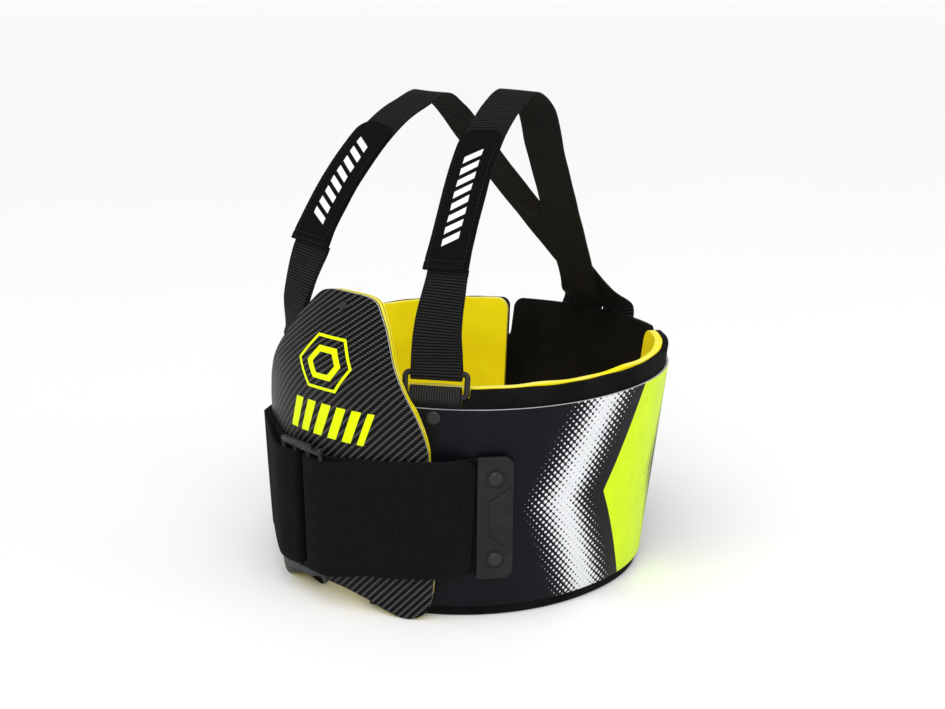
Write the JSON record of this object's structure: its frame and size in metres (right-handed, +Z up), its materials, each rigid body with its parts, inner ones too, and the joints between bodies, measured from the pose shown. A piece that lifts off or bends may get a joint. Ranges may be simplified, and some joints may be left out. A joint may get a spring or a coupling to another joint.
{
  "type": "rib protector",
  "caption": "Rib protector worn round the torso: rigid chest plate, printed flexible side shells lined with foam, front belts on a bar buckle, and crossed shoulder straps.",
  "frame": {"origin": "midway between the undersides of the two shoulder straps where they cross the tops of the shoulders", "axes": "+Z up, the object's longest side; -Y is the wearer's front, where the chest plate is; +X is the wearer's left"},
  "size_m": [0.321, 0.3525, 0.4005],
  "materials": {
    "woven_plate": "twill-woven carbon fibre under a satin clear coat, with a thin pale cut edge",
    "yellow_foam": "matt closed-cell foam with a fine skin",
    "black_foam": "matt closed-cell foam with a fine skin",
    "printed_shell": "smooth flexible plastic, printed near black with slanted yellow bands and a fading field of pale dots",
    "belt_cloth": "matt brushed loop cloth",
    "webbing": "ribbed woven webbing",
    "label_cloth": "fine woven cloth pad with stitched edges",
    "moulded_plastic": "satin moulded nylon",
    "rivet_metal": "dark lacquered aluminium"
  },
  "bodies": {
    "root": {"front_plate": "woven_plate", "front_pad": "yellow_foam", "plate_rivet": "rivet_metal", "back_panel": "black_foam", "side_shell_left": "printed_shell", "side_shell_right": "printed_shell", "side_foam_left": "black_foam", "side_foam_right": "black_foam", "side_lining_left": "yellow_foam", "side_lining_right": "yellow_foam", "belt_bracket_left": "moulded_plastic", "belt_bracket_right": "moulded_plastic", "bracket_rivet_left_1": "rivet_metal", "bracket_rivet_left_2": "rivet_metal", "bracket_rivet_right_1": "rivet_metal", "bracket_rivet_right_2": "rivet_metal", "belt_left": "belt_cloth", "belt_right": "belt_cloth", "centre_buckle": "moulded_plastic", "strap_ring_left": "moulded_plastic", "strap_ring_right": "moulded_plastic", "ring_tab_left": "webbing", "ring_tab_right": "webbing", "tab_rivet_left": "rivet_metal", "tab_rivet_right": "rivet_metal", "shoulder_strap_left": "webbing", "shoulder_strap_right": "webbing", "strap_label_left": "label_cloth", "strap_label_right": "label_cloth"}
  },
  "joints": []
}
